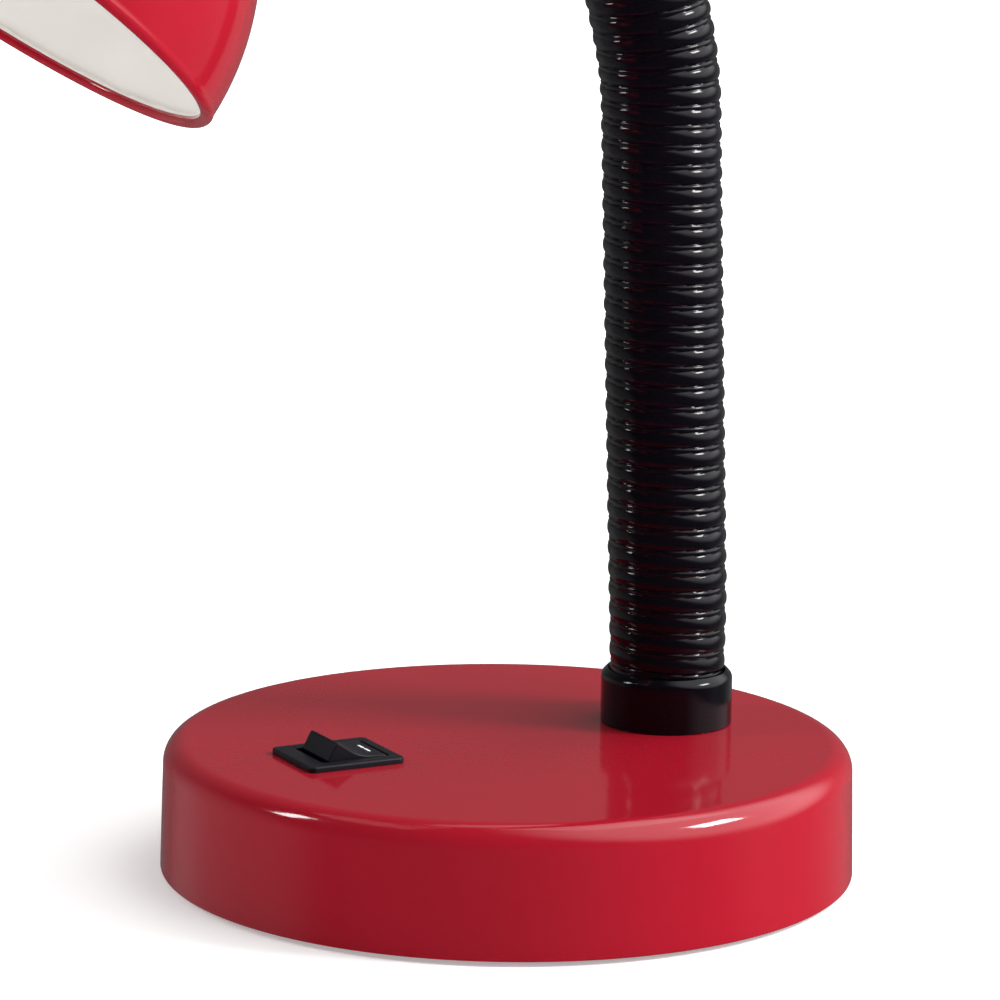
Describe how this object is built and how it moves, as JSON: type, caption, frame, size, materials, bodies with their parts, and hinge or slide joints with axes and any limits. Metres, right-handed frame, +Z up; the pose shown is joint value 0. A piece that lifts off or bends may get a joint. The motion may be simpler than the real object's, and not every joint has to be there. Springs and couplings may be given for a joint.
{
  "type": "gooseneck desk lamp",
  "caption": "Desk lamp with a round weighted base, a rocker switch, a flexible ribbed neck and a red dome shade.",
  "frame": {"origin": "centre of the foot pad's underside, on the surface that the lamp stands on", "axes": "+Z up, -Y towards the front (the side of the switch and the shade), X sideways"},
  "size_m": [0.15, 0.2608, 0.32],
  "materials": {
    "red_gloss": "gloss enamel, red",
    "black_gloss": "gloss black",
    "black_rubber": "matt black",
    "cast_iron": "raw casting",
    "plated_steel": "zinc plated",
    "brass": "bright",
    "white_ceramic": "glazed white",
    "frosted_glass": "frosted"
  },
  "bodies": {
    "base": {"base_shell": "red_gloss", "ballast_weight": "cast_iron", "bottom_cover": "plated_steel", "foot_pad": "black_rubber", "tie_post": "plated_steel", "centre_bolt": "plated_steel", "cord_grommet": "black_rubber", "switch_housing": "black_gloss", "switch_bezel": "black_gloss", "rocker_pin": "plated_steel", "terminal_front": "brass", "terminal_back": "brass", "contact_blade": "brass", "contact_plunger": "plated_steel", "neck_collar": "black_gloss", "neck_nipple": "plated_steel", "neck_nut": "plated_steel", "neck_washer": "plated_steel", "neck_sleeve_00": "black_gloss", "neck_core_00": "plated_steel"},
    "rocker": {"switch_rocker": "black_gloss"},
    "link_01": {"neck_sleeve_01": "black_gloss", "neck_core_01": "plated_steel"},
    "link_02": {"neck_sleeve_02": "black_gloss", "neck_core_02": "plated_steel"},
    "link_03": {"neck_sleeve_03": "black_gloss", "neck_core_03": "plated_steel"},
    "link_04": {"neck_sleeve_04": "black_gloss", "neck_core_04": "plated_steel"},
    "link_05": {"neck_sleeve_05": "black_gloss", "neck_core_05": "plated_steel"},
    "link_06": {"neck_sleeve_06": "black_gloss", "neck_core_06": "plated_steel"},
    "link_07": {"neck_sleeve_07": "black_gloss", "neck_core_07": "plated_steel"},
    "link_08": {"neck_sleeve_08": "black_gloss", "neck_core_08": "plated_steel"},
    "link_09": {"neck_sleeve_09": "black_gloss", "neck_core_09": "plated_steel"},
    "link_10": {"neck_sleeve_10": "black_gloss", "neck_core_10": "plated_steel"},
    "link_11": {"neck_sleeve_11": "black_gloss", "neck_core_11": "plated_steel"},
    "head": {"neck_sleeve_12": "black_gloss", "neck_core_12": "plated_steel", "upper_collar": "black_gloss", "upper_nipple": "plated_steel", "upper_nut": "plated_steel", "upper_washer": "plated_steel", "socket_cup": "red_gloss", "shade": "red_gloss", "lampholder_body": "white_ceramic", "shade_ring": "white_ceramic", "threaded_shell": "brass", "centre_contact": "brass", "bulb_cap": "brass", "bulb_glass": "frosted_glass"}
  },
  "joints": [
    {"name": "neck_lean_1", "type": "hinge", "parent": "base", "child": "link_01", "pos_m": [0, 0.0392, 0.053], "axis": [1, 0, 0], "range_deg": [-8, 8]},
    {"name": "neck_sway_1", "type": "hinge", "parent": "link_01", "child": "link_02", "pos_m": [0, 0.03766, 0.09297], "axis": [0, 0.9993, 0.0384], "range_deg": [-10, 10]},
    {"name": "neck_lean_2", "type": "hinge", "parent": "link_02", "child": "link_03", "pos_m": [0, 0.03613, 0.13294], "axis": [1, 0, 0], "range_deg": [-8, 8]},
    {"name": "neck_sway_2", "type": "hinge", "parent": "link_03", "child": "link_04", "pos_m": [0, 0.03459, 0.17291], "axis": [0, 0.99, 0.1409], "range_deg": [-10, 10]},
    {"name": "neck_lean_3", "type": "hinge", "parent": "link_04", "child": "link_05", "pos_m": [0, 0.02552, 0.2093], "axis": [1, 0, 0], "range_deg": [-8, 8]},
    {"name": "neck_sway_3", "type": "hinge", "parent": "link_05", "child": "link_06", "pos_m": [0, 0.01645, 0.24568], "axis": [0, 0.9703, 0.2419], "range_deg": [-10, 10]},
    {"name": "neck_arch_1", "type": "hinge", "parent": "link_06", "child": "link_07", "pos_m": [0, 0.00738, 0.28207], "axis": [1, 0, 0], "range_deg": [-18, 4]},
    {"name": "neck_arch_2", "type": "hinge", "parent": "link_07", "child": "link_08", "pos_m": [0, -0.00223, 0.29552], "axis": [1, 0, 0], "range_deg": [-18, 4]},
    {"name": "neck_arch_3", "type": "hinge", "parent": "link_08", "child": "link_09", "pos_m": [0, -0.0161, 0.30451], "axis": [1, 0, 0], "range_deg": [-18, 4]},
    {"name": "neck_arch_4", "type": "hinge", "parent": "link_09", "child": "link_10", "pos_m": [0, -0.0323, 0.30778], "axis": [1, 0, 0], "range_deg": [-18, 4]},
    {"name": "neck_arch_5", "type": "hinge", "parent": "link_10", "child": "link_11", "pos_m": [0, -0.04858, 0.30488], "axis": [1, 0, 0], "range_deg": [-18, 4]},
    {"name": "neck_arch_6", "type": "hinge", "parent": "link_11", "child": "head", "pos_m": [0, -0.06265, 0.2962], "axis": [1, 0, 0], "range_deg": [-18, 4]},
    {"name": "rocker_tilt", "type": "hinge", "parent": "base", "child": "rocker", "pos_m": [0, -0.0399, 0.0274], "axis": [1, 0, 0], "range_deg": [0, 36]}
  ],
  "couplings": [
    {"joint": "neck_lean_2", "follows": "neck_lean_1", "ratio": 1},
    {"joint": "neck_lean_3", "follows": "neck_lean_1", "ratio": 1},
    {"joint": "neck_sway_2", "follows": "neck_sway_1", "ratio": 1},
    {"joint": "neck_sway_3", "follows": "neck_sway_1", "ratio": 1},
    {"joint": "neck_arch_2", "follows": "neck_arch_1", "ratio": 1},
    {"joint": "neck_arch_3", "follows": "neck_arch_1", "ratio": 1},
    {"joint": "neck_arch_4", "follows": "neck_arch_1", "ratio": 1},
    {"joint": "neck_arch_5", "follows": "neck_arch_1", "ratio": 1},
    {"joint": "neck_arch_6", "follows": "neck_arch_1", "ratio": 1}
  ]
}
